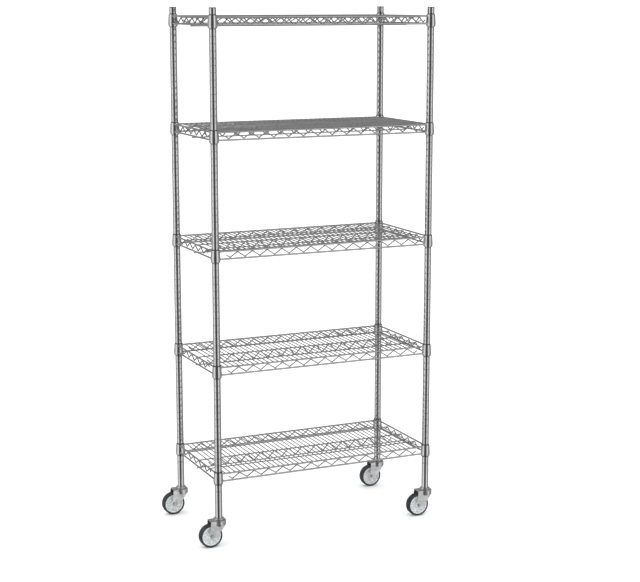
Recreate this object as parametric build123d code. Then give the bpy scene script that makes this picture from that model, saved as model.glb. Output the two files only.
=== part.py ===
from build123d import *
import math
import os

# Mobile wire shelving rack: four grooved tube posts, five welded wire shelves wedged on split
# sleeves, and four swivel stem casters.
# Millimetres. +X runs along the length of the shelves, +Y to the back, +Z up. The origin is on
# the floor, at the centre of the rack's bounding box. The casters trail to -X at rest, so the
# posts stand a little to +X of the origin.

# ---- driving dimensions ----
POST_SPACING_X = 876.0
POST_SPACING_Y = 419.0
POST_RADIUS = 13.5
POST_WALL = 1.8
POST_BOTTOM_Z = 110.0
POST_LENGTH = 1879.6  # with its cap
CAP_RIM_HEIGHT = 3.0
CAP_PLUG_LENGTH = 16.0
CAP_RADIUS = 13.3
CAP_EDGE = 1.2
CAP_PLUG_LEAD = 1.0

GROOVE_PITCH = 25.4
GROOVE_COUNT = 70
FIRST_GROOVE_HEIGHT = 101.6  # above the post's lower end
GROOVE_WIDTH = 3.2
GROOVE_DEPTH = 0.8

SHELF_GROOVES = (2, 18, 35, 52, 68)  # groove that holds each shelf, from the lowest shelf up
SLEEVE_BEAD_HEIGHT = 21.9  # above the collar's lower rim

COLLAR_HEIGHT = 45.0
COLLAR_TOP_RADIUS = 16.4
COLLAR_BELLY_RADIUS = 18.4
COLLAR_BELLY_HEIGHT = 12.5
COLLAR_RIM_RADIUS = 17.0
COLLAR_EDGE = 0.8
COLLAR_BORE_TOP = 14.9
COLLAR_BORE_BOTTOM = 15.8

SLEEVE_CLEARANCE = 0.1
SLEEVE_BELOW_COLLAR = 1.0
SLEEVE_ABOVE_COLLAR = 2.0
SLEEVE_POST_GAP = 0.05
SLEEVE_DRAFT = 0.1  # how much wider the sleeve's inside is at its lower end
SLEEVE_BEAD_PROUD = 0.6
SLEEVE_BEAD_WIDTH = 2.8
SLEEVE_ARC = 178.4  # degrees in each half

EDGE_WIRE_RADIUS = 3.2
RIB_WIRE_RADIUS = 2.5
ZIGZAG_WIRE_RADIUS = 2.3
RUNNER_WIRE_RADIUS = 2.2
MAT_WIRE_RADIUS = 2.0
TOP_WIRE_HEIGHT = 38.5  # wire centres above the collar's lower rim
BOTTOM_WIRE_HEIGHT = 10.5
EDGE_WIRE_OUTSET = 4.0  # perimeter wires stand outside the line of post centres
WELD_GAP = 0.02
WELD_BITE = 0.3

MAT_WIRE_PITCH = 20.0
MAT_WIRE_COUNT = 42
ZIGZAG_BEND_RADIUS = 6.0
LONG_ZIGZAG_PERIOD = 58.7
LONG_ZIGZAG_BOTTOMS = 14
END_ZIGZAG_PERIOD = 59.0
END_ZIGZAG_PEAKS = 5
RUNNER_OFFSET_Y = 118.0

WHEEL_RADIUS = 44.5
CASTER_TRAIL = 34.0
TYRE_WIDTH = 31.6
TYRE_INNER_RADIUS = 37.0
TYRE_SHOULDER = 7.0
TYRE_CROWNING = 0.6
TYRE_FLANK_STEP = 2.5
HUB_RIM_WIDTH = 25.0
HUB_RIM_INNER_RADIUS = 31.5
HUB_WEB_WIDTH = 11.0
HUB_BOSS_RADIUS = 13.0
HUB_BOSS_WIDTH = 33.4
HUB_RIB_COUNT = 8
HUB_RIB_WIDTH = 2.4
HUB_RIB_FACE = 21.0
HUB_EDGE = 1.0
FORK_GAP = 34.0
FORK_PLATE = 3.0
FORK_CROWN_RADIUS = 27.0
FORK_CROWN_TOP_Z = 104.0
FORK_SKIRT_HEIGHT = 20.0
FORK_REAR = 37.5
FORK_BEND_RADIUS = 4.5
FORK_LEG_RADIUS = 9.0
FORK_LEG_LEAN = -38.0  # where the front edge meets the round end, degrees
FORK_LEG_SWEEP = ((7.0, 69.0), (-7.0, 54.0))  # points of the front edge, x and z
FORK_LEG_FRONT = 18.0
KINGPIN_RADIUS = 6.0
KINGPIN_HEAD_RADIUS = 10.0
KINGPIN_HEAD_HEIGHT = 4.5
KINGPIN_CHAMFER = 2.0
KINGPIN_PLAY = 0.3
RUNNING_GAP = 0.08
STEM_RADIUS = 7.9
STEM_LENGTH = 58.0
STEM_CHAMFER = 2.0
RACE_RADIUS = 19.5
RACE_RIM_Z = 104.6
RACE_WALL = 1.8
RACE_PLATE = 1.6
RACE_EDGE = 1.2
BALL_RADIUS = 2.1
BALL_PLAY = 0.1
BALL_CIRCLE_RADIUS = 14.5
BALL_COUNT = 18
EXPANDER_LENGTH = 45.0
EXPANDER_CHAMFER = 2.0
AXLE_RADIUS = 4.0
AXLE_HEAD_RADIUS = 6.6
AXLE_HEAD_HEIGHT = 4.0
NUT_RADIUS = 7.2
NUT_HEIGHT = 6.0
BOLT_END = 1.5
BUSHING_RADIUS = 6.0

# ---- worked out from the driving dimensions ----
POST_TOP_Z = POST_BOTTOM_Z + POST_LENGTH
TUBE_TOP_Z = POST_TOP_Z - CAP_RIM_HEIGHT
TUBE_INNER = POST_RADIUS - POST_WALL
HALF_X = POST_SPACING_X / 2
HALF_Y = POST_SPACING_Y / 2
RACE_UNDERSIDE_Z = POST_BOTTOM_Z - RACE_PLATE
# the box runs from the trailing wheels at -X to the fork crowns at +X
RACK_SHIFT_X = (CASTER_TRAIL + WHEEL_RADIUS - FORK_CROWN_RADIUS) / 2
POST_PLACES = {
    "front_left": (RACK_SHIFT_X - HALF_X, -HALF_Y),
    "front_right": (RACK_SHIFT_X + HALF_X, -HALF_Y),
    "back_left": (RACK_SHIFT_X - HALF_X, HALF_Y),
    "back_right": (RACK_SHIFT_X + HALF_X, HALF_Y),
}
FIRST_GROOVE_Z = POST_BOTTOM_Z + FIRST_GROOVE_HEIGHT
GROOVE_HEIGHTS = [FIRST_GROOVE_Z + k * GROOVE_PITCH for k in range(GROOVE_COUNT)]
SHELF_HEIGHTS = [GROOVE_HEIGHTS[k] - SLEEVE_BEAD_HEIGHT for k in SHELF_GROOVES]
EDGE_X = HALF_X + EDGE_WIRE_OUTSET
EDGE_Y = HALF_Y + EDGE_WIRE_OUTSET
# deck wires lie level with the top wires, and the zigzags nest under them between the edge wires
MAT_UNDERSIDE = TOP_WIRE_HEIGHT - MAT_WIRE_RADIUS - WELD_GAP
ZIGZAG_TOP = MAT_UNDERSIDE - ZIGZAG_WIRE_RADIUS
ZIGZAG_RISE = TOP_WIRE_HEIGHT - ZIGZAG_TOP
ZIGZAG_BOTTOM = BOTTOM_WIRE_HEIGHT + ZIGZAG_RISE
ZIGZAG_REACH = EDGE_WIRE_RADIUS + ZIGZAG_WIRE_RADIUS + WELD_GAP
ZIGZAG_INSET = math.sqrt(ZIGZAG_REACH ** 2 - ZIGZAG_RISE ** 2)
RIB_TOP = MAT_UNDERSIDE - RIB_WIRE_RADIUS
RIB_BOTTOM = BOTTOM_WIRE_HEIGHT - EDGE_WIRE_RADIUS - RIB_WIRE_RADIUS - WELD_GAP


def rod(start, end, radius):
    """A straight round wire between two points."""
    direction = Vector(*end) - Vector(*start)
    return Solid.make_cylinder(radius, direction.length, Plane(origin=start, z_dir=direction))


def turned(points, arc=360):
    """A closed (radius, height) outline turned about Z."""
    outline = make_face(Polyline([(r, 0, z) for r, z in points], close=True))
    return revolve(outline, Axis.Z, revolution_arc=arc)


def bent_wire(points, radius, bend_radius):
    """A round wire along straight strokes joined by arcs."""
    path = FilletPolyline(*points, radius=bend_radius)
    section = Plane(origin=path @ 0, z_dir=path % 0) * Circle(radius)
    return sweep(section, path=path)


def bore_radius(height):
    """Radius of the tapered collar bore at a height above the collar's lower rim."""
    return COLLAR_BORE_BOTTOM + (COLLAR_BORE_TOP - COLLAR_BORE_BOTTOM) * height / COLLAR_HEIGHT


def at_posts(make):
    """One copy of a piece at each post."""
    return [Pos(x, y, 0) * make() for x, y in POST_PLACES.values()]


def write(name, solids):
    """Write one node's solids to its STEP file."""
    pieces = [s for item in solids for s in item.solids()]
    shape = pieces[0] if len(pieces) == 1 else Compound(children=pieces)
    shape.label = name
    export_step(shape, f"parts/{name}.step")


# ---- posts ----
def post():
    """Tube with a ring groove every inch, open at its lower end."""
    outline = [(TUBE_INNER, POST_BOTTOM_Z), (POST_RADIUS, POST_BOTTOM_Z)]
    for z in GROOVE_HEIGHTS:
        low, high = z - GROOVE_WIDTH / 2, z + GROOVE_WIDTH / 2
        floor = POST_RADIUS - GROOVE_DEPTH
        outline += [(POST_RADIUS, low), (floor, low + GROOVE_DEPTH)]
        outline += [(floor, high - GROOVE_DEPTH), (POST_RADIUS, high)]
    outline += [(POST_RADIUS, TUBE_TOP_Z), (TUBE_INNER, TUBE_TOP_Z)]
    return turned(outline)


def post_cap():
    """Plastic plug with a rounded rim that covers the tube's end."""
    plug = TUBE_INNER - WELD_GAP
    outline = [
        (0, TUBE_TOP_Z - CAP_PLUG_LENGTH),
        (plug - CAP_PLUG_LEAD, TUBE_TOP_Z - CAP_PLUG_LENGTH),
        (plug, TUBE_TOP_Z - CAP_PLUG_LENGTH + CAP_PLUG_LEAD),
        (plug, TUBE_TOP_Z),
        (CAP_RADIUS, TUBE_TOP_Z),
        (CAP_RADIUS, POST_TOP_Z - CAP_EDGE),
        (CAP_RADIUS - CAP_EDGE / 3, POST_TOP_Z - CAP_EDGE / 3),
        (CAP_RADIUS - CAP_EDGE, POST_TOP_Z),
        (0, POST_TOP_Z),
    ]
    return turned(outline)


# ---- split sleeves ----
def sleeve_half():
    """Half of a tapered sleeve, with the bead that sits in the post's groove."""
    low, high = -SLEEVE_BELOW_COLLAR, COLLAR_HEIGHT + SLEEVE_ABOVE_COLLAR
    bead = POST_RADIUS + SLEEVE_POST_GAP - SLEEVE_BEAD_PROUD
    bead_low = SLEEVE_BEAD_HEIGHT - SLEEVE_BEAD_WIDTH / 2
    bead_high = SLEEVE_BEAD_HEIGHT + SLEEVE_BEAD_WIDTH / 2

    def inner(height):
        return POST_RADIUS + SLEEVE_POST_GAP + SLEEVE_DRAFT * (high - height) / (high - low)

    outline = [
        (inner(low), low),
        (bore_radius(low) - SLEEVE_CLEARANCE, low),
        (bore_radius(high) - SLEEVE_CLEARANCE, high),
        (inner(high), high),
        (inner(bead_high), bead_high),
        (bead, bead_high - SLEEVE_BEAD_PROUD),
        (bead, bead_low + SLEEVE_BEAD_PROUD),
        (inner(bead_low), bead_low),
    ]
    return turned(outline, SLEEVE_ARC)


def sleeve_pair():
    """Both halves, parted on the line that faces along the shelf."""
    start = (180 - SLEEVE_ARC) / 2
    return Compound(children=[Rot(0, 0, start + turn) * sleeve_half() for turn in (0, 180)])


# ---- shelves, each built with the collar's lower rim at height 0 ----
def collar():
    """Tapered steel collar, widest low down, welded into each corner of a shelf."""
    return turned([
        (COLLAR_BORE_BOTTOM, 0),
        (COLLAR_RIM_RADIUS, 0),
        (COLLAR_BELLY_RADIUS, COLLAR_BELLY_HEIGHT),
        (COLLAR_TOP_RADIUS, COLLAR_HEIGHT - COLLAR_EDGE),
        (COLLAR_TOP_RADIUS - COLLAR_EDGE, COLLAR_HEIGHT),
        (COLLAR_BORE_TOP, COLLAR_HEIGHT),
    ])


def mat_wires():
    """Deck wires that run front to back, butted between the top wires."""
    reach = EDGE_Y - EDGE_WIRE_RADIUS - WELD_GAP
    height = TOP_WIRE_HEIGHT
    first = -MAT_WIRE_PITCH * (MAT_WIRE_COUNT - 1) / 2
    places = [first + i * MAT_WIRE_PITCH for i in range(MAT_WIRE_COUNT)]
    return [rod((x, -reach, height), (x, reach, height), MAT_WIRE_RADIUS) for x in places]


def long_zigzag(y, low, high):
    """Zigzag along X: full strokes, with half a stroke at each end."""
    half = LONG_ZIGZAG_PERIOD / 2
    middle = (low + high) / 2
    strokes = 2 * (LONG_ZIGZAG_BOTTOMS - 1)
    first = -strokes * half / 2
    points = [(first - half / 2, y, middle)]
    for i in range(strokes + 1):
        points.append((first + i * half, y, high if i % 2 else low))
    points.append((first + strokes * half + half / 2, y, middle))
    return bent_wire(points, ZIGZAG_WIRE_RADIUS, ZIGZAG_BEND_RADIUS)


def end_zigzag(x, low, high):
    """Zigzag along Y on the left end: it starts with a peak and finishes with a bottom."""
    half = END_ZIGZAG_PERIOD / 2
    middle = (low + high) / 2
    strokes = 2 * END_ZIGZAG_PEAKS - 1
    first = -half * (END_ZIGZAG_PEAKS - 1)
    points = [(x, first - half / 2, middle)]
    for i in range(strokes + 1):
        points.append((x, first + i * half, low if i % 2 else high))
    points.append((x, first + strokes * half + half / 2, middle))
    return bent_wire(points, ZIGZAG_WIRE_RADIUS, ZIGZAG_BEND_RADIUS)


def long_trusses():
    """Front and back edges: top wire, bottom wire and zigzag."""
    wires = []
    for side in (-1, 1):
        for height in (TOP_WIRE_HEIGHT, BOTTOM_WIRE_HEIGHT):
            reach = HALF_X - bore_radius(height) - WELD_BITE
            y = side * EDGE_Y
            wires.append(rod((-reach, y, height), (reach, y, height), EDGE_WIRE_RADIUS))
        wires.append(long_zigzag(side * (EDGE_Y - ZIGZAG_INSET), ZIGZAG_BOTTOM, ZIGZAG_TOP))
    return wires


def end_trusses():
    """Left and right edges. The right one is the left one turned half round."""
    wires = []
    for height in (TOP_WIRE_HEIGHT, BOTTOM_WIRE_HEIGHT):
        reach = HALF_Y - bore_radius(height) - WELD_BITE
        wires.append(rod((-EDGE_X, -reach, height), (-EDGE_X, reach, height), EDGE_WIRE_RADIUS))
    wires.append(end_zigzag(-EDGE_X + ZIGZAG_INSET, ZIGZAG_BOTTOM, ZIGZAG_TOP))
    return wires + [Rot(0, 0, 180) * wire for wire in wires]


def under_ribs():
    """Centre rib truss and two runners that carry the deck wires between the edges."""
    inner = EDGE_X - ZIGZAG_INSET - ZIGZAG_WIRE_RADIUS - WELD_GAP
    reach = EDGE_X + EDGE_WIRE_RADIUS  # the rib's lower wire passes under the end trusses
    side = RIB_WIRE_RADIUS + ZIGZAG_WIRE_RADIUS + WELD_GAP
    wires = [
        rod((-inner, 0, RIB_TOP), (inner, 0, RIB_TOP), RIB_WIRE_RADIUS),
        rod((-reach, 0, RIB_BOTTOM), (reach, 0, RIB_BOTTOM), RIB_WIRE_RADIUS),
        long_zigzag(side, RIB_BOTTOM, ZIGZAG_TOP),
    ]
    runner = MAT_UNDERSIDE - RUNNER_WIRE_RADIUS
    for y in (-RUNNER_OFFSET_Y, RUNNER_OFFSET_Y):
        wires.append(rod((-inner, y, runner), (inner, y, runner), RUNNER_WIRE_RADIUS))
    return wires


def shelf_collars():
    """The four corner collars of one shelf."""
    return [Pos(x, y, 0) * collar() for x in (-HALF_X, HALF_X) for y in (-HALF_Y, HALF_Y)]


# ---- casters, each built with its swivel axis on Z at x = y = 0 ----
def caster_stem():
    """Stem with the upper raceway, and the kingpin whose head holds the fork up."""
    top = POST_BOTTOM_Z
    head_top = FORK_CROWN_TOP_Z - FORK_PLATE - KINGPIN_PLAY
    head_low = head_top - KINGPIN_HEAD_HEIGHT
    race_inner = RACE_RADIUS - RACE_WALL
    return turned([
        (0, head_low),
        (KINGPIN_HEAD_RADIUS - KINGPIN_CHAMFER, head_low),
        (KINGPIN_HEAD_RADIUS, head_low + KINGPIN_CHAMFER),
        (KINGPIN_HEAD_RADIUS, head_top),
        (KINGPIN_RADIUS, head_top),
        (KINGPIN_RADIUS, RACE_UNDERSIDE_Z),
        (race_inner, RACE_UNDERSIDE_Z),
        (race_inner, RACE_RIM_Z),
        (RACE_RADIUS, RACE_RIM_Z),
        (RACE_RADIUS, top - RACE_EDGE),
        (RACE_RADIUS - RACE_EDGE, top),
        (STEM_RADIUS, top),
        (STEM_RADIUS, top + STEM_LENGTH - STEM_CHAMFER),
        (STEM_RADIUS - STEM_CHAMFER, top + STEM_LENGTH),
        (0, top + STEM_LENGTH),
    ])


def stem_expander():
    """Plastic sleeve that grips the stem inside the post."""
    outer = TUBE_INNER - WELD_GAP
    inner = STEM_RADIUS + WELD_GAP
    low = POST_BOTTOM_Z + WELD_GAP
    return turned([
        (inner, low),
        (outer, low),
        (outer, low + EXPANDER_LENGTH - EXPANDER_CHAMFER),
        (outer - EXPANDER_CHAMFER, low + EXPANDER_LENGTH),
        (inner, low + EXPANDER_LENGTH),
    ])


def swivel_balls():
    """Ring of bearing balls between the stem's raceway and the fork crown."""
    height = FORK_CROWN_TOP_Z + BALL_RADIUS + BALL_PLAY
    turn = 360 / BALL_COUNT
    ball = Pos(BALL_CIRCLE_RADIUS, 0, height) * Sphere(BALL_RADIUS)
    return Compound(children=[Rot(0, 0, i * turn) * ball for i in range(BALL_COUNT)])


def fork_leg():
    """Outline of one fork side plate in the XZ plane, from the crown down round the axle."""
    axle_x, axle_z = -CASTER_TRAIL, WHEEL_RADIUS
    crown = FORK_CROWN_TOP_Z
    lean = math.radians(FORK_LEG_LEAN)
    tangent = (axle_x + FORK_LEG_RADIUS * math.cos(lean), axle_z + FORK_LEG_RADIUS * math.sin(lean))
    rear_low = (axle_x - FORK_LEG_RADIUS, axle_z)
    front_low = (FORK_LEG_FRONT, crown - FORK_SKIRT_HEIGHT)
    with BuildSketch(Plane.XZ) as sketch:
        with BuildLine():
            Polyline(rear_low, (-FORK_REAR, crown), (FORK_LEG_FRONT, crown), front_low)
            Spline(front_low, *FORK_LEG_SWEEP, tangent)
            ThreePointArc(tangent, (axle_x, axle_z - FORK_LEG_RADIUS), rear_low)
        make_face()
    return sketch.sketch


def fork_cup():
    """Round crown with its turned-down skirt, bent from one sheet."""
    radius, top, bend = FORK_CROWN_RADIUS, FORK_CROWN_TOP_Z, FORK_BEND_RADIUS
    inner, low = radius - FORK_PLATE, top - FORK_PLATE
    skirt_low = top - FORK_SKIRT_HEIGHT
    dip = bend * (1 - math.sqrt(0.5))
    with BuildSketch(Plane.XZ) as sketch:
        with BuildLine():
            Polyline((radius - bend, top), (0, top), (0, low), (inner, low), (inner, skirt_low))
            Polyline((inner, skirt_low), (radius, skirt_low), (radius, top - bend))
            ThreePointArc((radius, top - bend), (radius - dip, top - dip), (radius - bend, top))
        make_face()
    return revolve(sketch.sketch, Axis.Z)


def fork_arch():
    """Bent plate over the wheel: the crown's tail and both legs, cut to the side outline."""
    wide, top, bend = FORK_GAP / 2 + FORK_PLATE, FORK_CROWN_TOP_Z, FORK_BEND_RADIUS
    inner, low = FORK_GAP / 2, top - FORK_PLATE
    dip = bend * (1 - math.sqrt(0.5))
    with BuildSketch(Plane.YZ) as section:
        with BuildLine():
            Polyline((bend - wide, top), (wide - bend, top))
            ThreePointArc((wide - bend, top), (wide - dip, top - dip), (wide, top - bend))
            Polyline((wide, top - bend), (wide, 0), (inner, 0), (inner, low), (-inner, low))
            Polyline((-inner, low), (-inner, 0), (-wide, 0), (-wide, top - bend))
            ThreePointArc((-wide, top - bend), (dip - wide, top - dip), (bend - wide, top))
        make_face()
    bent = extrude(section.sketch, 2 * FORK_REAR, both=True)
    return bent & extrude(fork_leg(), wide, both=True)


def fork():
    """Stamped fork: cupped crown, open at the back, over an arch with two legs."""
    low = FORK_CROWN_TOP_Z - FORK_PLATE
    opening = Box(2 * FORK_CROWN_RADIUS, FORK_GAP + 2 * FORK_PLATE, 2 * FORK_SKIRT_HEIGHT)
    cup = fork_cup() - Pos(-FORK_CROWN_RADIUS, 0, low - FORK_SKIRT_HEIGHT) * opening
    body = fork_arch() + cup
    body -= Pos(0, 0, low) * Cylinder(KINGPIN_RADIUS + RUNNING_GAP, 4 * FORK_PLATE)
    hole = Cylinder(AXLE_RADIUS + RUNNING_GAP, 3 * FORK_GAP, rotation=(90, 0, 0))
    return body - Pos(-CASTER_TRAIL, 0, WHEEL_RADIUS) * hole


def about_axle(shape):
    """Turn a piece made on Z so that Z becomes the wheel's axle along Y."""
    return Pos(-CASTER_TRAIL, 0, WHEEL_RADIUS) * Rot(90, 0, 0) * shape


def axle_bolt():
    """Hexagon-headed axle bolt and its nut."""
    outer = FORK_GAP / 2 + FORK_PLATE
    shank_low = -outer - NUT_HEIGHT - BOLT_END
    shank = Pos(0, 0, shank_low) * Solid.make_cylinder(AXLE_RADIUS, outer - shank_low)
    head = Pos(0, 0, outer) * extrude(RegularPolygon(AXLE_HEAD_RADIUS, 6), AXLE_HEAD_HEIGHT)
    nut_face = RegularPolygon(NUT_RADIUS, 6) - Circle(AXLE_RADIUS + WELD_GAP)
    nut = Pos(0, 0, -outer - NUT_HEIGHT) * extrude(nut_face, NUT_HEIGHT)
    return [about_axle(shank + head), about_axle(nut)]


def axle_bushing():
    """Steel tube clamped between the fork's side plates, on which the hub runs."""
    half = FORK_GAP / 2 - WELD_GAP
    inner = AXLE_RADIUS + WELD_GAP
    outline = [(inner, -half), (BUSHING_RADIUS, -half), (BUSHING_RADIUS, half), (inner, half)]
    return about_axle(turned(outline))


def hub():
    """Moulded hub: rim, web with ribs on both faces, and bored boss."""
    boss, rim, web = HUB_BOSS_WIDTH / 2, HUB_RIM_WIDTH / 2, HUB_WEB_WIDTH / 2
    upper = [
        (BUSHING_RADIUS + RUNNING_GAP, boss),
        (HUB_BOSS_RADIUS - HUB_EDGE, boss),
        (HUB_BOSS_RADIUS, boss - HUB_EDGE),
        (HUB_BOSS_RADIUS + HUB_EDGE, web),
        (HUB_RIM_INNER_RADIUS - HUB_EDGE, web),
        (HUB_RIM_INNER_RADIUS, rim - HUB_EDGE),
        (HUB_RIM_INNER_RADIUS + HUB_EDGE, rim),
        (TYRE_INNER_RADIUS - WELD_GAP, rim),
    ]
    body = turned(upper + [(r, -z) for r, z in reversed(upper)])
    length = HUB_RIM_INNER_RADIUS - HUB_BOSS_RADIUS
    middle = (HUB_RIM_INNER_RADIUS + HUB_BOSS_RADIUS) / 2
    rib = Pos(middle, 0, 0) * Box(length, HUB_RIB_WIDTH, HUB_RIB_FACE)
    for i in range(HUB_RIB_COUNT):
        body += Rot(0, 0, i * 360 / HUB_RIB_COUNT) * rib
    return about_axle(body)


def tyre():
    """Solid rubber tyre with rounded shoulders."""
    half = TYRE_WIDTH / 2
    shoulder = WHEEL_RADIUS - TYRE_SHOULDER
    crown = WHEEL_RADIUS - TYRE_CROWNING
    dip = TYRE_SHOULDER * (1 - math.sqrt(0.5))
    foot = half - TYRE_FLANK_STEP
    bend = half - TYRE_SHOULDER
    with BuildSketch(Plane.XZ) as sketch:
        with BuildLine():
            Line((TYRE_INNER_RADIUS, foot), (TYRE_INNER_RADIUS, -foot))
            Line((TYRE_INNER_RADIUS, -foot), (shoulder, -half))
            ThreePointArc((shoulder, -half), (crown - dip, dip - half), (crown, -bend))
            ThreePointArc((crown, -bend), (WHEEL_RADIUS, 0), (crown, bend))
            ThreePointArc((crown, bend), (crown - dip, half - dip), (shoulder, half))
            Line((shoulder, half), (TYRE_INNER_RADIUS, foot))
        make_face()
    return about_axle(revolve(sketch.sketch, Axis.Z))


# ---- write every node ----
os.makedirs("parts", exist_ok=True)

for place, (x, y) in POST_PLACES.items():
    write(f"post_{place}", [Pos(x, y, 0) * post()])
write("post_caps", at_posts(post_cap))
write("caster_stems", at_posts(caster_stem))
write("stem_expanders", at_posts(stem_expander))
write("swivel_balls", at_posts(swivel_balls))

shelf_nodes = {
    "collars": shelf_collars(),
    "mat_wires": mat_wires(),
    "long_trusses": long_trusses(),
    "end_trusses": end_trusses(),
    "under_ribs": under_ribs(),
}
for number, height in enumerate(SHELF_HEIGHTS, start=1):
    for name, solids in shelf_nodes.items():
        write(f"shelf_{number}_{name}", [Pos(RACK_SHIFT_X, 0, height) * solid for solid in solids])
    write(f"shelf_{number}_sleeves", [Pos(0, 0, height) * pair for pair in at_posts(sleeve_pair)])

caster_nodes = {
    "fork": [fork()],
    "axle_bolt": axle_bolt(),
    "axle_bushing": [axle_bushing()],
    "hub": [hub()],
    "tyre": [tyre()],
}
for place, (x, y) in POST_PLACES.items():
    for name, solids in caster_nodes.items():
        write(f"caster_{place}_{name}", [Pos(x, y, 0) * solid for solid in solids])

print("OK")
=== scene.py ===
import math
import random

import bmesh
import bpy
from mathutils import Matrix, Vector


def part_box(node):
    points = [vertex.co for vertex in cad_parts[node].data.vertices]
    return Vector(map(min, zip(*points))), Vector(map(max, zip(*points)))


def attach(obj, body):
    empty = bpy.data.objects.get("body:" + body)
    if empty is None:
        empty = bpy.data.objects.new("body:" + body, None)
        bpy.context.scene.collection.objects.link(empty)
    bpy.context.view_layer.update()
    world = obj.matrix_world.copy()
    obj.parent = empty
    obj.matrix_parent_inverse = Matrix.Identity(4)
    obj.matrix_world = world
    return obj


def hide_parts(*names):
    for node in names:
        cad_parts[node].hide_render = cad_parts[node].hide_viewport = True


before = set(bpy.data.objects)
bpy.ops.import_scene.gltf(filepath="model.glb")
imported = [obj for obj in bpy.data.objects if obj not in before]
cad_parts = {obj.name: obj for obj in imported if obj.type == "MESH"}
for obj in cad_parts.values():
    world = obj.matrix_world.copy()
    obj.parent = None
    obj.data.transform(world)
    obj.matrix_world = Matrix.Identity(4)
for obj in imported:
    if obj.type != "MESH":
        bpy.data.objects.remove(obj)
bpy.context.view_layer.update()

random.seed(7)
MM = 0.001
TINY = 1e-7
MERGE_DISTANCE = 1e-6

# ---- sizes that the CAD model is built to, in metres ----
POST_WALL = 1.8 * MM
CAP_PLUG_LENGTH = 16 * MM
CAP_RADIUS = 13.3 * MM
CAP_PLUG_LEAD = 1 * MM
CAP_ROUNDING = 1.1 * MM
GROOVE_PITCH = 25.4 * MM
GROOVE_COUNT = 70
FIRST_GROOVE_HEIGHT = 101.6 * MM
GROOVE_WIDTH = 3.2 * MM
GROOVE_DEPTH = 0.8 * MM
COLLAR_TOP_RADIUS = 16.4 * MM
COLLAR_BELLY_RADIUS = 18.4 * MM
COLLAR_BELLY_HEIGHT = 12.5 * MM
COLLAR_RIM_RADIUS = 17.0 * MM
COLLAR_BORE_TOP = 14.9 * MM
COLLAR_BORE_BOTTOM = 15.8 * MM
COLLAR_ROUNDING = 0.8 * MM
SLEEVE_CLEARANCE = 0.1 * MM
SLEEVE_BELOW_COLLAR = 1.0 * MM
SLEEVE_ABOVE_COLLAR = 2.0 * MM
SLEEVE_POST_GAP = 0.05 * MM
SLEEVE_ARC = math.radians(178.4)
BROKEN_EDGE = 0.3 * MM
EDGE_WIRE_RADIUS = 3.2 * MM
RIB_WIRE_RADIUS = 2.5 * MM
ZIGZAG_WIRE_RADIUS = 2.3 * MM
RUNNER_WIRE_RADIUS = 2.2 * MM
MAT_WIRE_RADIUS = 2.0 * MM
TOP_WIRE_HEIGHT = 38.5 * MM
BOTTOM_WIRE_HEIGHT = 10.5 * MM
EDGE_WIRE_OUTSET = 4.0 * MM
WELD_BITE = 0.3 * MM
WELD_GAP = 0.02 * MM
MAT_WIRE_PITCH = 20.0 * MM
ZIGZAG_BEND_RADIUS = 6.0 * MM
LONG_ZIGZAG_PERIOD = 58.7 * MM
LONG_ZIGZAG_BOTTOMS = 14
END_ZIGZAG_PERIOD = 59.0 * MM
END_ZIGZAG_PEAKS = 5
RUNNER_OFFSET_Y = 118.0 * MM
FORK_GAP = 34.0 * MM
FORK_PLATE = 3.0 * MM
STEM_RADIUS = 7.9 * MM
STEM_LENGTH = 58.0 * MM
STEM_LEAD = 2 * MM
KINGPIN_RADIUS = 6 * MM
RACE_RADIUS = 19.5 * MM
RACE_PLATE = 1.6 * MM
RACE_HEIGHT = 5.4 * MM
RACE_WALL = 1.8 * MM
RACE_ROUNDING = 1.2 * MM
AXLE_BOLT_RADIUS = 4 * MM
# corner radius, height and chamfer of a hexagon; how far a chamfer goes in for its height
AXLE_HEAD = (6.6 * MM, 4 * MM, 0.6 * MM)
AXLE_NUT = (7.2 * MM, 6 * MM, 0.7 * MM)
HEXAGON_CHAMFER_SLOPE = 1.2
# weld nuggets, which only this model has; half sizes across, along and up
CARRIER_WELD = (1.6 * MM, 1.9 * MM, 0.7 * MM)
BUTT_WELD = (2.3 * MM, 1.1 * MM, 2.2 * MM)
TRUSS_WELD = (2.4 * MM, 1.3 * MM, 0.9 * MM)

PLACES = ("front_left", "front_right", "back_left", "back_right")
SHELVES = (1, 2, 3, 4, 5)

# ---- small outlines ----
# a groove: place across it, and share of its depth
GROOVE_SHAPE = (
    (-1, 0), (-0.86, 0.1), (-0.5, 0.75), (-0.25, 1),
    (0.25, 1), (0.5, 0.75), (0.86, 0.1), (1, 0),
)
# the outlines below are in mm
# cap's dish: radius, and height over the rim
CAP_DISH = ((8.5, 0), (8.0, -0.4), (0, -0.5))
# kingpin head: radius, and height over its lower face
KINGPIN_HEAD = ((0, 0), (8, 0), (9.4, 0.6), (10, 2), (10, 4.5), (6, 4.5))
# threaded end of the axle bolt: radius, and reach beyond the fork
BOLT_END = ((0, 7.5), (3.3, 7.5), (4, 6.9))
# hub: radius and half width of the bore, boss with a ring groove, web and rim
HUB_PROFILE = (
    (6.08, 16.2), (6.5, 16.7), (8.6, 16.7), (9.0, 16.2), (10.6, 16.2), (11.0, 16.7),
    (12.2, 16.7), (13.0, 15.9), (13.9, 6.6), (14.8, 5.6), (18, 5.5), (24, 5.5),
    (28.6, 5.6), (30.2, 6.4), (31.2, 11.3), (32.1, 12.5), (36.4, 12.5), (36.98, 12.0),
)
HUB_RIBS = 8
HUB_RIB_HEIGHT = 10.4
HUB_RIB_SPAN = (13.5, 31.5)
HUB_RIB_HALF_WIDTHS = (2.0, 1.2)  # at its foot and at its top
HUB_GAP_STEPS = 8
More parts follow.
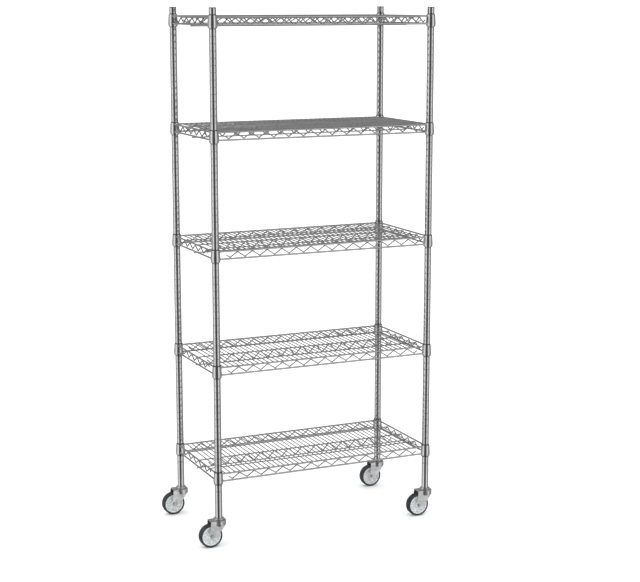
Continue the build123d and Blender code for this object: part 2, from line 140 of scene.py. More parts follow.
# tyre: radius and half width of the side wall with its ring step, the shoulder and the tread
TYRE_SIDE = (
    (37.0, 13.4), (37.6, 14.4), (38.6, 15.4), (39.2, 15.4), (39.5, 15.1), (39.9, 15.1),
    (40.2, 15.3),
)
TYRE_SHOULDER_CENTRE = (39.2, 10.0)
TYRE_SHOULDER_BEND = (4.6, 5.3)
TYRE_SHOULDER_STEPS = 6
TYRE_TREAD = ((44.2, 5.6), (44.4, 2.2), (44.38, 0.5), (44.47, 0.25))


# ---- places, read from the frame ----
def middle(node):
    """Centre of a CAD node's box."""
    low, high = (Vector(corner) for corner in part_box(node))
    return (low + high) / 2


POSTS = {place: middle(f"post_{place}") for place in PLACES}
POST_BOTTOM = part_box("post_front_left")[0][2]
TUBE_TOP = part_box("post_front_left")[1][2]
POST_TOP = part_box("post_caps")[1][2]
POST_RADIUS = (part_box("post_front_left")[1][0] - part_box("post_front_left")[0][0]) / 2
TUBE_INNER = POST_RADIUS - POST_WALL
RACK_X = (POSTS["front_left"].x + POSTS["front_right"].x) / 2
HALF_X = (POSTS["front_right"].x - POSTS["front_left"].x) / 2
HALF_Y = (POSTS["back_left"].y - POSTS["front_left"].y) / 2
SHELF_BASE = {n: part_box(f"shelf_{n}_collars")[0][2] for n in SHELVES}
COLLAR_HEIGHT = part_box("shelf_1_collars")[1][2] - SHELF_BASE[1]
EDGE_X = HALF_X + EDGE_WIRE_OUTSET
EDGE_Y = HALF_Y + EDGE_WIRE_OUTSET
MAT_UNDERSIDE = TOP_WIRE_HEIGHT - MAT_WIRE_RADIUS - WELD_GAP
ZIGZAG_TOP = MAT_UNDERSIDE - ZIGZAG_WIRE_RADIUS
ZIGZAG_RISE = TOP_WIRE_HEIGHT - ZIGZAG_TOP
ZIGZAG_BOTTOM = BOTTOM_WIRE_HEIGHT + ZIGZAG_RISE
ZIGZAG_REACH = EDGE_WIRE_RADIUS + ZIGZAG_WIRE_RADIUS + WELD_GAP
ZIGZAG_INSET = math.sqrt(ZIGZAG_REACH ** 2 - ZIGZAG_RISE ** 2)
RIB_TOP = MAT_UNDERSIDE - RIB_WIRE_RADIUS
RIB_BOTTOM = BOTTOM_WIRE_HEIGHT - EDGE_WIRE_RADIUS - RIB_WIRE_RADIUS - WELD_GAP


# ---- mesh tools ----
class Shape:
    """Vertices and faces of one piece, gathered part by part."""

    def __init__(self):
        self.verts = []
        self.faces = []

    def add(self, part, place=None):
        """Add (vertices, faces), moved by a matrix when one is given."""
        verts, faces = part
        base = len(self.verts)
        self.verts += [place @ v for v in verts] if place else verts
        self.faces += [tuple(base + i for i in face) for face in faces]
        return self


def lathe(profile, segments, closed=True, start=0.0, arc=2 * math.pi):
    """A (radius, height) outline turned about Z. A part turn gets flat ends.

    The outline is a closed loop, or with closed=False a line that starts and ends on the axis.
    """
    whole = arc > 2 * math.pi - TINY
    columns = segments if whole else segments + 1
    verts, rows = [], []
    for r, z in profile:
        if r < TINY:
            rows.append([len(verts)] * columns)
            verts.append(Vector((0, 0, z)))
            continue
        row = []
        for i in range(columns):
            a = start + arc * i / segments
            row.append(len(verts))
            verts.append(Vector((r * math.cos(a), r * math.sin(a), z)))
        rows.append(row)
    faces = []
    last = len(rows) if closed else len(rows) - 1
    for k in range(last):
        low, high = rows[k], rows[(k + 1) % len(rows)]
        for i in range(segments):
            j = (i + 1) % columns
            face = []
            for v in (low[i], low[j], high[j], high[i]):
                if v not in face:
                    face.append(v)
            if len(face) > 2:
                faces.append(tuple(face))
    if not whole:
        faces.append(tuple(row[0] for row in rows))
        faces.append(tuple(row[-1] for row in reversed(rows)))
    return verts, faces


def rounded_path(points, radius, steps=6):
    """The points of a polyline with each corner replaced by an arc."""
    points = [Vector(p) for p in points]
    path = [points[0]]
    for before, corner, after in zip(points, points[1:], points[2:]):
        a, b = (before - corner).normalized(), (after - corner).normalized()
        half = a.angle(b) / 2
        centre = corner + (a + b).normalized() * (radius / math.sin(half))
        start = corner + a * (radius / math.tan(half)) - centre
        end = corner + b * (radius / math.tan(half)) - centre
        for i in range(steps + 1):
            path.append(centre + start.normalized().slerp(end.normalized(), i / steps) * radius)
    path.append(points[-1])
    return path


def tube(path, radius, sides=16, chamfer=0.25):
    """A round wire along a path, with its cut ends slightly broken."""
    path = [Vector(p) for p in path]
    bevel = radius * chamfer
    first = (path[1] - path[0]).normalized()
    last = (path[-1] - path[-2]).normalized()
    stations = [(path[0], radius - bevel), (path[0] + first * bevel, radius)]
    stations += [(p, radius) for p in path[1:-1]]
    stations += [(path[-1] - last * bevel, radius), (path[-1], radius - bevel)]
    centres = [p for p, _ in stations]
    normal = first.orthogonal().normalized()
    verts, faces = [], []
    for k, (p, r) in enumerate(stations):
        ahead = centres[min(k + 1, len(centres) - 1)] - centres[max(k - 1, 0)]
        along = ahead.normalized()
        normal = (normal - along * normal.dot(along)).normalized()
        side = along.cross(normal)
        for i in range(sides):
            a = 2 * math.pi * i / sides
            verts.append(p + (normal * math.cos(a) + side * math.sin(a)) * r)
    for k in range(len(stations) - 1):
        for i in range(sides):
            j = (i + 1) % sides
            faces.append((k * sides + i, k * sides + j, (k + 1) * sides + j, (k + 1) * sides + i))
    faces.append(tuple(reversed(range(sides))))
    top = (len(stations) - 1) * sides
    faces.append(tuple(range(top, top + sides)))
    return verts, faces


def rod(start, end, radius, sides=16):
    """A straight wire."""
    return tube([Vector(start), Vector(end)], radius, sides)


def weld(spot, across, along, size):
    """A small weld nugget: a flattened ball at a crossing of two wires."""
    rings, sides = 4, 8
    verts, faces = [], []
    spot, across, along = Vector(spot), Vector(across), Vector(along)
    axes = (across * size[0], along * size[1], across.cross(along) * size[2])
    for k in range(1, rings):
        t = math.pi * k / rings
        for i in range(sides):
            a = 2 * math.pi * i / sides
            local = (math.sin(t) * math.cos(a), math.sin(t) * math.sin(a), math.cos(t))
            verts.append(spot + sum((v * c for v, c in zip(axes, local)), Vector()))
    verts += [spot + axes[2], spot - axes[2]]
    top, bottom = len(verts) - 2, len(verts) - 1
    for i in range(sides):
        j = (i + 1) % sides
        faces.append((top, i, j))
        for k in range(rings - 2):
            faces.append((k * sides + i, (k + 1) * sides + i, (k + 1) * sides + j, k * sides + j))
        low = (rings - 2) * sides
        faces.append((low + j, low + i, bottom))
    return verts, faces


def piece(name, shape, material, body, nodes=(), sharp=35):
    """Make a piece from a shape and ride it on its body in place of the CAD nodes it shows.

    Edges that turn by more than sharp, in degrees, stay crisp.
    """
    mesh = bpy.data.meshes.new(name)
    mesh.from_pydata([tuple(v) for v in shape.verts], [], shape.faces)
    mesh.validate()
    mesh.materials.append(material)
    mesh.polygons.foreach_set("use_smooth", [True] * len(mesh.polygons))
    mesh.set_sharp_from_angle(angle=math.radians(sharp))
    outward(mesh)
    obj = bpy.data.objects.new(name, mesh)
    bpy.context.scene.collection.objects.link(obj)
    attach(obj, body)
    if nodes:
        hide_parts(*nodes)
    return obj


def outward(mesh):
    """Turn every closed part's faces outward."""
    bm = bmesh.new()
    bm.from_mesh(mesh)
    bmesh.ops.recalc_face_normals(bm, faces=bm.faces)
    bm.to_mesh(mesh)
    bm.free()


def at(x, y, z=0.0):
    """A move to a place."""
    return Matrix.Translation((x, y, z))


def moved(shape, place):
    """A copy of a shape, moved."""
    return Shape().add((shape.verts, shape.faces), place)


# ---- materials ----
WAVE_SCALE = 38
RUBBER_TINTS = ((0.022, 0.023, 0.026), (0.052, 0.054, 0.058))


def grey(value):
    return (value, value, value)


class Tree:
    """A node tree, emptied, with short ways to add and link nodes."""

    def __init__(self, owner):
        owner.use_nodes = True
        self.tree = owner.node_tree
        self.tree.nodes.clear()

    def add(self, kind, **values):
        node = self.tree.nodes.new(kind)
        for key, value in values.items():
            setattr(node, key, value)
        return node

    def link(self, a, b):
        self.tree.links.new(a, b)


class Nodes(Tree):
    """One material's node tree, with its shader in place."""

    def __init__(self, name):
        self.material = bpy.data.materials.new(name)
        super().__init__(self.material)
        self.shader = self.add("ShaderNodeBsdfPrincipled")
        out = self.add("ShaderNodeOutputMaterial")
        self.link(self.shader.outputs[0], out.inputs[0])
        self.place = self.add("ShaderNodeTexCoord").outputs["Object"]

    def noise(self, scale, detail=3.0, stretch=(1, 1, 1)):
        """Noise whose features are about 1/scale metres, drawn out along an axis by stretch."""
        mapping = self.add("ShaderNodeMapping")
        mapping.inputs["Scale"].default_value = stretch
        self.link(self.place, mapping.inputs["Vector"])
        node = self.add("ShaderNodeTexNoise")
        node.inputs["Scale"].default_value = scale
        node.inputs["Detail"].default_value = detail
        self.link(mapping.outputs[0], node.inputs["Vector"])
        return node.outputs["Fac"]

    def ramp(self, value, low, high, start=0.3, end=0.7):
        """Colours from low to high as a value goes from start to end."""
        node = self.add("ShaderNodeValToRGB")
        points = node.color_ramp.elements
        points[0].position, points[1].position = start, end
        points[0].color, points[1].color = (*low, 1), (*high, 1)
        self.link(value, node.inputs[0])
        return node.outputs[0]

    def span(self, value, low, high, start=0.3, end=0.7):
        """A number from low to high as a value goes from start to end."""
        node = self.add("ShaderNodeMapRange")
        for name, number in (("From Min", start), ("From Max", end)):
            node.inputs[name].default_value = number
        for name, number in (("To Min", low), ("To Max", high)):
            node.inputs[name].default_value = number
        self.link(value, node.inputs["Value"])
        return node.outputs[0]

    def bump(self, value, depth, wave=0.0):
        """Fine relief from a value, on top of a broad wave when one is asked for."""
        node = self.add("ShaderNodeBump")
        node.inputs["Distance"].default_value = depth
        self.link(value, node.inputs["Height"])
        if wave:
            broad = self.add("ShaderNodeBump")
            broad.inputs["Distance"].default_value = wave
            self.link(self.noise(WAVE_SCALE, 1), broad.inputs["Height"])
            self.link(broad.outputs[0], node.inputs["Normal"])
        self.link(node.outputs[0], self.shader.inputs["Normal"])

    def set(self, **values):
        """Constants on the shader's own sockets."""
        for key, value in values.items():
            self.shader.inputs[key.replace("_", " ")].default_value = value

    def feed(self, name, value):
        """A value that varies over the surface."""
        self.link(value, self.shader.inputs[name])


def plated(name, dark, light, rough, stretch, depth, fine=260, wave=0.0):
    """Bright plate: cloudy tint, drawn streaks in the gloss, a faint ripple and wavy sheet."""
    n = Nodes(name)
    n.set(Metallic=1.0)
    cloud = n.noise(14, 4)
    n.feed("Base Color", n.ramp(cloud, dark, light))
    streak = n.noise(fine, 5, stretch)
    n.feed("Roughness", n.span(streak, *rough))
    n.bump(streak, depth, wave=wave)
    return n.material


def moulded(name, dark, light, rough, depth, grain=900, streak_scale=35):
    """Moulded plastic: faint melt streaks and a fine grained skin; on the hub, strong blotches of
    painted shade.
    """
    n = Nodes(name)
    streaks_and_painted_shade = n.noise(streak_scale, 4, (1, 1, 2))
    n.feed("Base Color", n.ramp(streaks_and_painted_shade, dark, light))
    skin = n.noise(grain, 3)
    n.feed("Roughness", n.span(skin, *rough))
    n.bump(skin, depth)
    return n.material


def rubber(name):
    """Solid rubber: dusty patches and a matt skin."""
    n = Nodes(name)
    dust = n.noise(55, 5)
    n.feed("Base Color", n.ramp(dust, *RUBBER_TINTS, 0.35, 0.75))
    skin = n.noise(1400, 4)
    n.feed("Roughness", n.span(skin, 0.5, 0.72))
    n.bump(skin, 0.00008)
    n.set(Specular_IOR_Level=0.4)
    return n.material


# name, dark and light tint, range of roughness, grain direction, depth of the ripple in metres
ALONG_X, ALONG_Y, ALONG_Z, ROUND = (0.04, 1, 1), (1, 0.04, 1), (1, 1, 0.04), (1, 1, 1)
CHROME = (grey(0.76), grey(0.86))
WIRE = (grey(0.58), grey(0.72))
WIRE_GLOSS = (0.13, 0.26)
chrome_post = plated("chrome_post", *CHROME, (0.06, 0.14), ALONG_Z, 0.000004)
chrome_collar = plated("chrome_collar", *CHROME, (0.07, 0.18), ROUND, 0.00001)
chrome_x = plated("chrome_wire_x", *WIRE, WIRE_GLOSS, ALONG_X, 0.000008)
chrome_y = plated("chrome_wire_y", *WIRE, WIRE_GLOSS, ALONG_Y, 0.000008)
chrome_weld = plated("chrome_weld", grey(0.4), grey(0.6), (0.2, 0.45), ROUND, 0.00004, 700)
zinc = plated("zinc_stamped", grey(0.80), grey(0.94), (0.29, 0.45), ROUND, 0.00003, 120, 0.005)
zinc_bolt = plated("zinc_bolt", grey(0.52), grey(0.68), (0.22, 0.4), ROUND, 0.00002, 400)
ball_steel = plated("ball_steel", grey(0.62), grey(0.7), (0.08, 0.16), ROUND, 0.000004)
# HUB_SHADE is painted shade: dark random blotches on the hub stand in for the shade of its ribs and
# recesses.
HUB_SHADE, HUB_LIGHT = (0.42, 0.455, 0.475), (0.80, 0.825, 0.835)
hub_plastic = moulded("hub_plastic", HUB_SHADE, HUB_LIGHT, (0.22, 0.42), 0.00002, streak_scale=95)
dark_plastic = moulded("dark_plastic", grey(0.018), grey(0.036), (0.3, 0.5), 0.00002)
cap_plastic = moulded("cap_plastic", grey(0.05), grey(0.08), (0.32, 0.5), 0.00002)
tyre_rubber = rubber("tyre_rubber")


# ---- posts and their fittings ----
def rounded_corner(radius, top, bend, steps=4):
    """Points round an outer top edge, from the side over to the top."""
    turns = [math.pi / 2 * i / steps for i in range(steps + 1)]
    return [(radius - bend + bend * math.cos(a), top - bend + bend * math.sin(a)) for a in turns]


def post_profile():
    """Outline of the tube wall, with a rolled ring groove every inch."""
    outline = [(TUBE_INNER, POST_BOTTOM), (POST_RADIUS - BROKEN_EDGE, POST_BOTTOM)]
    outline.append((POST_RADIUS, POST_BOTTOM + BROKEN_EDGE))
    half = GROOVE_WIDTH / 2
    for k in range(GROOVE_COUNT):
        z = POST_BOTTOM + FIRST_GROOVE_HEIGHT + k * GROOVE_PITCH
        for side, depth in GROOVE_SHAPE:
            outline.append((POST_RADIUS - depth * GROOVE_DEPTH, z + side * half))
    outline += [(POST_RADIUS, TUBE_TOP - BROKEN_EDGE), (POST_RADIUS - BROKEN_EDGE, TUBE_TOP)]
    return outline + [(TUBE_INNER, TUBE_TOP)]


def cap_profile():
    """Plug, and a rim with a rounded edge and a shallow dish on top."""
    plug, lead = TUBE_INNER - WELD_GAP, CAP_PLUG_LEAD
    low = TUBE_TOP - CAP_PLUG_LENGTH
    outline = [(0, low), (plug - lead, low), (plug, low + lead), (plug, TUBE_TOP)]
    outline.append((CAP_RADIUS, TUBE_TOP))
    outline += rounded_corner(CAP_RADIUS, POST_TOP, CAP_ROUNDING)
    return outline + [(r * MM, POST_TOP + z * MM) for r, z in CAP_DISH]


def stem_profile():
    """Kingpin with its head, upper raceway with a rounded shoulder, and the stem."""
    top = POST_BOTTOM
    head_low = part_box("caster_stems")[0][2]
    outline = [(r * MM, head_low + z * MM) for r, z in KINGPIN_HEAD]
    inner, roof, rim = RACE_RADIUS - RACE_WALL, top - RACE_PLATE, top - RACE_HEIGHT
    outline += [(KINGPIN_RADIUS, roof), (inner, roof), (inner, rim)]
    outline += [(RACE_RADIUS - BROKEN_EDGE, rim), (RACE_RADIUS, rim + BROKEN_EDGE)]
    outline += rounded_corner(RACE_RADIUS, top, RACE_ROUNDING)
    outline += [(STEM_RADIUS, top), (STEM_RADIUS, top + STEM_LENGTH - STEM_LEAD)]
    return outline + [(STEM_RADIUS - STEM_LEAD, top + STEM_LENGTH), (0, top + STEM_LENGTH)]


def make_posts():
    """Tubes, end caps, and the caster stems with their upper raceways."""
    profile = post_profile()
    for place, spot in POSTS.items():
        shape = Shape().add(lathe(profile, segments=64), at(spot.x, spot.y))
        piece(f"post_tube_{place}", shape, chrome_post, "frame", [f"post_{place}"])
    caps, stems = Shape(), Shape()
    for spot in POSTS.values():
        caps.add(lathe(cap_profile(), segments=48, closed=False), at(spot.x, spot.y))
        stems.add(lathe(stem_profile(), segments=64, closed=False), at(spot.x, spot.y))
    piece("end_caps", caps, cap_plastic, "frame", ["post_caps"])
    piece("stem_raceways", stems, zinc, "frame", ["caster_stems"])


# ---- shelves ----
def bore_radius(height):
    """Radius of the tapered collar bore at a height above the collar's lower rim."""
    return COLLAR_BORE_BOTTOM + (COLLAR_BORE_TOP - COLLAR_BORE_BOTTOM) * height / COLLAR_HEIGHT


def collar_profile():
    """Pressed collar: rim, belly low down, tapered wall and rounded top edge."""
    top, rim, belly = COLLAR_HEIGHT, COLLAR_RIM_RADIUS, COLLAR_BELLY_RADIUS
    steps, edge = 7, COLLAR_ROUNDING
    outline = [(COLLAR_BORE_BOTTOM, 0), (rim - BROKEN_EDGE, 0)]
    for i in range(1, steps + 1):
        t = i / steps
        outline.append((rim + (belly - rim) * math.sin(math.pi / 2 * t), COLLAR_BELLY_HEIGHT * t))
    for i in range(1, steps):
        t = i / steps
        z = COLLAR_BELLY_HEIGHT + (top - edge - COLLAR_BELLY_HEIGHT) * t
        outline.append((belly + (COLLAR_TOP_RADIUS - belly) * t, z))
    return outline + rounded_corner(COLLAR_TOP_RADIUS, top, edge) + [(COLLAR_BORE_TOP, top)]


def sleeve_profile():
    """Tapered sleeve wall; its rims show above and under the collar."""
    low, high = -SLEEVE_BELOW_COLLAR, COLLAR_HEIGHT + SLEEVE_ABOVE_COLLAR
    inner, edge = POST_RADIUS + SLEEVE_POST_GAP, BROKEN_EDGE
    wide, narrow = bore_radius(low) - SLEEVE_CLEARANCE, bore_radius(high) - SLEEVE_CLEARANCE
    outline = [(inner, low), (wide - edge, low), (wide, low + edge)]
    return outline + [(narrow, high - edge), (narrow - edge, high), (inner, high)]


def zigzag(place, period, count, turns, heights):
    """A zigzag wire with half a stroke beyond its first and last turn.

    The turns alternate between the two heights. Those at the first height, count of them, are
    centred on the shelf's middle. The place of a point is a function of its distance along the
    wire and its height.
    """
    half, middle_height = period / 2, sum(heights) / 2
    first = -half * (count - 1)
    points = [place(first - half / 2, middle_height)]
    for i in range(turns):
        points.append(place(first + i * half, heights[i % 2]))
    points.append(place(first + (turns - 1) * half + half / 2, middle_height))
    return rounded_path(points, ZIGZAG_BEND_RADIUS)


def long_zigzag(y, low, high):
    """Zigzag along X, from a bottom to a bottom."""
    count = LONG_ZIGZAG_BOTTOMS
    return zigzag(lambda x, z: (x, y, z), LONG_ZIGZAG_PERIOD, count, 2 * count - 1, (low, high))


def end_zigzag(x, low, high):
    """Zigzag along Y on the left end: it starts with a peak and finishes with a bottom."""
    count = END_ZIGZAG_PEAKS
    return zigzag(lambda y, z: (x, y, z), END_ZIGZAG_PERIOD, count, 2 * count, (high, low))


def long_trusses():
    """Front and back edges: top wire, bottom wire and zigzag."""
    shape = Shape()
    for side in (-1, 1):
        for height in (TOP_WIRE_HEIGHT, BOTTOM_WIRE_HEIGHT):
            reach = HALF_X - bore_radius(height) - WELD_BITE
            y = side * EDGE_Y
            shape.add(rod((-reach, y, height), (reach, y, height), EDGE_WIRE_RADIUS, sides=24))
        path = long_zigzag(side * (EDGE_Y - ZIGZAG_INSET), ZIGZAG_BOTTOM, ZIGZAG_TOP)
        shape.add(tube(path, ZIGZAG_WIRE_RADIUS))
    return shape


def end_trusses():
    """Left and right edges. The right one is the left one turned half round."""
    left = Shape()
    for height in (TOP_WIRE_HEIGHT, BOTTOM_WIRE_HEIGHT):
        reach = HALF_Y - bore_radius(height) - WELD_BITE
        ends = ((-EDGE_X, -reach, height), (-EDGE_X, reach, height))
        left.add(rod(*ends, EDGE_WIRE_RADIUS, sides=24))
    path = end_zigzag(-EDGE_X + ZIGZAG_INSET, ZIGZAG_BOTTOM, ZIGZAG_TOP)
    left.add(tube(path, ZIGZAG_WIRE_RADIUS))
    right = moved(left, Matrix.Rotation(math.pi, 4, "Z"))
    return left.add((right.verts, right.faces))


def under_ribs():
    """Centre rib truss and the two runners under the deck wires."""
    shape = Shape()
    inner = EDGE_X - ZIGZAG_INSET - ZIGZAG_WIRE_RADIUS - WELD_GAP
    reach = EDGE_X + EDGE_WIRE_RADIUS
    for half, height in ((inner, RIB_TOP), (reach, RIB_BOTTOM)):
        shape.add(rod((-half, 0, height), (half, 0, height), RIB_WIRE_RADIUS, sides=20))
    side = RIB_WIRE_RADIUS + ZIGZAG_WIRE_RADIUS + WELD_GAP
    shape.add(tube(long_zigzag(side, RIB_BOTTOM, ZIGZAG_TOP), ZIGZAG_WIRE_RADIUS))
    runner = MAT_UNDERSIDE - RUNNER_WIRE_RADIUS
    for y in (-RUNNER_OFFSET_Y, RUNNER_OFFSET_Y):
        shape.add(rod((-inner, y, runner), (inner, y, runner), RUNNER_WIRE_RADIUS))
    return shape


def mat_places():
    """Where the deck wires stand along the shelf."""
    low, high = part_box("shelf_1_mat_wires")
    span = high[0] - low[0] - 2 * MAT_WIRE_RADIUS
    count = round(span / MAT_WIRE_PITCH) + 1
    return [-span / 2 + i * MAT_WIRE_PITCH for i in range(count)]


def mat_wires():
    """Deck wires butted between the front and back top wires."""
    shape = Shape()
    reach, height = EDGE_Y - EDGE_WIRE_RADIUS - WELD_GAP, TOP_WIRE_HEIGHT
    for x in mat_places():
        shape.add(rod((x, -reach, height), (x, reach, height), MAT_WIRE_RADIUS))
    return shape


def weld_nuggets():
    """Resistance welds where the deck wires meet what carries them, and along the trusses."""
    shape = Shape()
    for x in mat_places():
        for y in (-RUNNER_OFFSET_Y, 0, RUNNER_OFFSET_Y):
            size = uneven(CARRIER_WELD, random.uniform(0.9, 1.15))
            shape.add(weld((x, y, MAT_UNDERSIDE), (1, 0, 0), (0, 1, 0), size))
        for side in (-1, 1):
            size = uneven(BUTT_WELD, random.uniform(0.9, 1.1))
            y = side * (EDGE_Y - EDGE_WIRE_RADIUS - WELD_BITE)
            shape.add(weld((x, y, TOP_WIRE_HEIGHT), (1, 0, 0), (0, 1, 0), size))
    strokes = 2 * (LONG_ZIGZAG_BOTTOMS - 1)
    touch = ZIGZAG_INSET * EDGE_WIRE_RADIUS / ZIGZAG_REACH
    dip = ZIGZAG_RISE * EDGE_WIRE_RADIUS / ZIGZAG_REACH
    for y in (touch - EDGE_Y, EDGE_Y - touch):
        for i in range(strokes + 1):
            x = (i - strokes / 2) * LONG_ZIGZAG_PERIOD / 2
            height = TOP_WIRE_HEIGHT - dip if i % 2 else BOTTOM_WIRE_HEIGHT + dip
            shape.add(weld((x, y, height), (1, 0, 0), (0, 0, 1), TRUSS_WELD))
    return shape


def uneven(size, wobble):
    """A weld's size with its width made a little larger or smaller."""
    return (size[0] * wobble, size[1], size[2])


def make_shelves():
    """The same shelf at five heights; the sleeves under its collars stay on the posts."""
    collars, sleeves = Shape(), Shape()
    arc_start = (math.pi - SLEEVE_ARC) / 2
    for x in (-HALF_X, HALF_X):
        for y in (-HALF_Y, HALF_Y):
            collars.add(lathe(collar_profile(), segments=72), at(x, y))
            for turn in (0, math.pi):
                start = arc_start + turn
                half = lathe(sleeve_profile(), segments=28, start=start, arc=SLEEVE_ARC)
                sleeves.add(half, at(x, y))
    kinds = (
        ("collars", "corner_collars", collars, chrome_collar, "collar_chrome"),
        ("mat_wires", "deck_wires", mat_wires(), chrome_y, "wire_chrome"),
        ("long_trusses", "long_edges", long_trusses(), chrome_x, "wire_chrome"),
        ("end_trusses", "end_edges", end_trusses(), chrome_y, "wire_chrome"),
        ("under_ribs", "ribs", under_ribs(), chrome_x, "wire_chrome"),
        (None, "welds", weld_nuggets(), chrome_weld, "wire_chrome"),
    )
    for n in SHELVES:
        place = at(RACK_X, 0, SHELF_BASE[n])
        for node, name, shape, material, slot in kinds:
            nodes = [f"shelf_{n}_{node}"] if node else []
            own = moved(shape, place)
            piece(f"shelf_{n}_{name}", own, material, f"shelf_{n}", nodes)
        own, node = moved(sleeves, place), f"shelf_{n}_sleeves"
        piece(f"split_sleeves_{n}", own, dark_plastic, "frame", [node])


# ---- casters ----
def hub_half():
    """One face of the hub as rings of (radius, angle, height), with ribs that keep their width."""
    rings = []
    for r, z in HUB_PROFILE:
        ribbed = HUB_RIB_SPAN[0] < r < HUB_RIB_SPAN[1]
        high = max(z, HUB_RIB_HEIGHT) if ribbed else z
        foot, top = (math.asin(half / r) for half in HUB_RIB_HALF_WIDTHS)
        gap = 2 * math.pi / HUB_RIBS - 2 * foot
        ring = []
        for k in range(HUB_RIBS):
            mid = 2 * math.pi * k / HUB_RIBS
            ring += [(mid - foot, z), (mid - top, high), (mid + top, high), (mid + foot, z)]
            for i in range(1, HUB_GAP_STEPS):
                ring.append((mid + foot + gap * i / HUB_GAP_STEPS, z))
        rings.append([(r * MM, a, h * MM) for a, h in ring])
    return rings


def hub_part():
    """Hub about Z: two ribbed faces joined by the rim and the bore."""
    rings = hub_half()
    columns = len(rings[0])
    loop = rings + [[(r, a, -z) for r, a, z in ring] for ring in reversed(rings)]
    verts = [Vector((r * math.cos(a), r * math.sin(a), z)) for ring in loop for r, a, z in ring]
    faces = []
    for k in range(len(loop)):
        low, high = k * columns, (k + 1) % len(loop) * columns
        for i in range(columns):
            j = (i + 1) % columns
            faces.append((low + i, low + j, high + j, high + i))
    return verts, faces


def tyre_profile():
    """Tyre section: side wall with a ring step, round shoulder, crowned tread, parting line."""
    side = list(TYRE_SIDE)
    (r, z), (out, up) = TYRE_SHOULDER_CENTRE, TYRE_SHOULDER_BEND
    for i in range(TYRE_SHOULDER_STEPS + 1):
        a = math.pi / 2 * i / TYRE_SHOULDER_STEPS
        side.append((r + out * math.sin(a), z + up * math.cos(a)))
    half = [(r * MM, z * MM) for r, z in side + list(TYRE_TREAD)]
    return half + [(r, -z) for r, z in reversed(half)]


def hexagon(radius, height, chamfer):
    """A hexagonal nut or head on Z, with its corners broken at the top."""
    verts, faces = [], []
    narrow = radius - HEXAGON_CHAMFER_SLOPE * chamfer
    levels = ((radius, 0.0), (radius, height - chamfer), (narrow, height))
    for r, z in levels:
        for i in range(6):
            a = math.pi * i / 3
            verts.append(Vector((r * math.cos(a), r * math.sin(a), z)))
    for k in range(2):
        for i in range(6):
            j = (i + 1) % 6
            faces.append((k * 6 + i, k * 6 + j, (k + 1) * 6 + j, (k + 1) * 6 + i))
    faces += [tuple(reversed(range(6))), tuple(range(12, 18))]
    return verts, faces


def smooth_copy(node, name, material, body):
    """A CAD node's own mesh as a new piece, with its vertices joined so that it shades smoothly."""
    bm = bmesh.new()
    bm.from_mesh(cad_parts[node].data)
    bmesh.ops.remove_doubles(bm, verts=bm.verts, dist=MERGE_DISTANCE)
    bm.verts.ensure_lookup_table()
    shape = Shape()
    shape.verts = [v.co.copy() for v in bm.verts]
    shape.faces = [tuple(v.index for v in f.verts) for f in bm.faces]
    bm.free()
    return piece(name, shape, material, body, [node], sharp=28)


def axle_bolt(outer):
    """Bolt through the fork, on Z, with its head and its nut on plates outer from the middle."""
    bolt = Shape().add(hexagon(*AXLE_HEAD), at(0, 0, outer))
    bolt.add(hexagon(*AXLE_NUT), at(0, 0, -outer) @ Matrix.Rotation(math.pi, 4, "X"))
    shank = [(r * MM, -outer - z * MM) for r, z in BOLT_END]
    shank += [(AXLE_BOLT_RADIUS, outer), (0, outer)]
    return bolt.add(lathe(shank, segments=32, closed=False))


def make_casters():
    """Four casters: hub and tyre on the wheel, bolt and fork on the swivel."""
    bolt = axle_bolt(FORK_GAP / 2 + FORK_PLATE)
    hub = Shape().add(hub_part())
    tyre = Shape().add(lathe(tyre_profile(), segments=96))
    for place in PLACES:
        swivel, wheel = f"caster_{place}_swivel", f"caster_{place}_wheel"
        axle = middle(f"caster_{place}_tyre")
        turn = at(*axle) @ Matrix.Rotation(math.pi / 2, 4, "X")
        kinds = (
            ("hub", hub, hub_plastic, wheel, "hub_plastic", "hub"),
            ("tyre", tyre, tyre_rubber, wheel, "tyre", "tyre"),
            ("bolt", bolt, zinc_bolt, swivel, "bolt_zinc", "axle_bolt"),
        )
        for name, shape, material, body, slot, node in kinds:
            own, nodes = moved(shape, turn), [f"caster_{place}_{node}"]
            piece(f"wheel_{name}_{place}", own, material, body, nodes)
        smooth_copy(f"caster_{place}_fork", f"fork_stamping_{place}", zinc, swivel)


def finish_hidden_nodes():
    """Give the CAD nodes that stay, all inside other pieces, their materials."""
    materials = {"stem_expanders": dark_plastic, "swivel_balls": ball_steel}
    materials.update({f"caster_{place}_axle_bushing": zinc_bolt for place in PLACES})
    for name, material in materials.items():
        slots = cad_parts[name].data.materials
        slots.clear()
        slots.append(material)


make_posts()
make_shelves()
make_casters()
finish_hidden_nodes()


# ---- studio ----
CAMERA_AZIMUTH = -24.704
CAMERA_PITCH = 10.704
CAMERA_PLACE = (-2.3753, -5.3836, 2.0167)
CAMERA_LENS = 86.77
CAMERA_SENSOR = 36
SUN_ENERGY = 0.5
SUN_SOFTNESS = 60
SUN_TILT = (40, 0, -50)
WHITE_LEVEL = 1.35
FLOOR_REACH = 30.0
# angle round the rack from the camera, and brightness
WALL_BANDS = (
    (-180, 0.30), (-120, 0.34), (-84, 0.40), (-76, 0.84), (-40, 0.84), (-28, 0.07),
    (28, 0.07), (36, 0.80), (66, 0.80), (74, 0.28), (180, 0.28),
)
# angle above the horizon, and brightness
HEIGHT_BANDS = ((-90, 0.10), (-45, 0.25), (-25, 1.0), (25, 1.0), (50, 0.55), (90, 0.3))
# colour sockets of a Mix node
MIX_A, MIX_B, MIX_RESULT = 6, 7, 2


def make_camera():
    """A long lens a little above the top shelf, looking slightly down."""
    data = bpy.data.cameras.new("camera")
    data.lens = CAMERA_LENS
    data.sensor_width = CAMERA_SENSOR
    camera = bpy.data.objects.new("camera", data)
    camera.location = CAMERA_PLACE
    camera.rotation_euler = (math.radians(90 - CAMERA_PITCH), 0, math.radians(CAMERA_AZIMUTH))
    bpy.context.scene.collection.objects.link(camera)
    bpy.context.scene.camera = camera


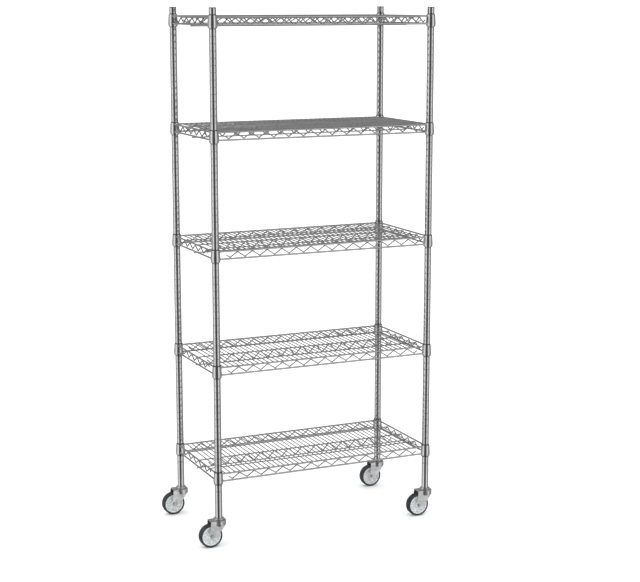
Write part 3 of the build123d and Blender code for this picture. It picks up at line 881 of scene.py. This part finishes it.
def make_floor():
    """A plain pale floor that the chrome doesn't mirror."""
    mesh = bpy.data.meshes.new("floor")
    reach = FLOOR_REACH
    corners = [(-reach, -reach, 0), (reach, -reach, 0), (reach, reach, 0), (-reach, reach, 0)]
    mesh.from_pydata(corners, [], [(0, 1, 2, 3)])
    n = Nodes("pale_floor")
    n.feed("Base Color", n.ramp(n.noise(3), grey(0.95), grey(0.97)))
    n.set(Roughness=0.9, Specular_IOR_Level=0.1)
    mesh.materials.append(n.material)
    floor = bpy.data.objects.new("floor", mesh)
    floor.visible_glossy = False
    bpy.context.scene.collection.objects.link(floor)


class WorldNodes(Tree):
    """The world's node tree."""

    def maths(self, operation, a, b=None):
        """The result of a sum on numbers and sockets."""
        node = self.add("ShaderNodeMath", operation=operation)
        for socket, value in zip(node.inputs, (a, b)):
            if value is None:
                continue
            if isinstance(value, (int, float)):
                socket.default_value = value
            else:
                self.link(value, socket)
        return node.outputs[0]

    def bands(self, value, stops, span):
        """Grey by an angle, of which value is the share of the span, with 0.5 at zero."""
        node = self.add("ShaderNodeValToRGB")
        node.color_ramp.interpolation = "EASE"
        elements = node.color_ramp.elements
        while len(elements) < len(stops):
            elements.new(0.5)
        for element, (angle, shade) in zip(elements, stops):
            element.position = 0.5 + angle / span
            element.color = (*grey(shade), 1)
        self.link(value, node.inputs[0])
        return node.outputs[0]


def make_world():
    """White seen directly and by matt surfaces; banded studio walls for what mirrors them."""
    world = bpy.data.worlds.new("studio")
    bpy.context.scene.world = world
    n = WorldNodes(world)
    world.cycles.sampling_method = "NONE"

    split = n.add("ShaderNodeSeparateXYZ")
    n.link(n.add("ShaderNodeTexCoord").outputs["Generated"], split.inputs[0])
    x, y, z = split.outputs
    turn = n.maths("ARCTAN2", x, n.maths("MULTIPLY", y, -1))
    turn = n.maths("SUBTRACT", turn, math.radians(CAMERA_AZIMUTH))
    around = n.maths("FRACT", n.maths("ADD", n.maths("DIVIDE", turn, 2 * math.pi), 0.5))
    rise = n.maths("ADD", n.maths("DIVIDE", n.maths("ARCSINE", z), math.pi), 0.5)

    banded = n.add("ShaderNodeMix", data_type="RGBA", blend_type="MULTIPLY")
    banded.inputs[0].default_value = 1
    n.link(n.bands(around, WALL_BANDS, 360), banded.inputs[MIX_A])
    n.link(n.bands(rise, HEIGHT_BANDS, 180), banded.inputs[MIX_B])
    mirrored = n.add("ShaderNodeBackground")
    n.link(banded.outputs[MIX_RESULT], mirrored.inputs["Color"])
    plain = n.add("ShaderNodeBackground")
    plain.inputs["Color"].default_value = (*grey(1), 1)
    plain.inputs["Strength"].default_value = WHITE_LEVEL
    mix = n.add("ShaderNodeMixShader")
    n.link(n.add("ShaderNodeLightPath").outputs["Is Glossy Ray"], mix.inputs[0])
    n.link(plain.outputs[0], mix.inputs[1])
    n.link(mirrored.outputs[0], mix.inputs[2])
    n.link(mix.outputs[0], n.add("ShaderNodeOutputWorld").inputs[0])


def make_sun():
    """One very soft key from above the camera's left shoulder."""
    data = bpy.data.lights.new("key", "SUN")
    data.energy = SUN_ENERGY
    data.angle = math.radians(SUN_SOFTNESS)
    sun = bpy.data.objects.new("key", data)
    sun.rotation_euler = [math.radians(turn) for turn in SUN_TILT]
    sun.visible_glossy = False
    bpy.context.scene.collection.objects.link(sun)


make_camera()
make_floor()
make_world()
make_sun()
bpy.context.scene.view_settings.view_transform = "Standard"

bpy.context.view_layer.update()
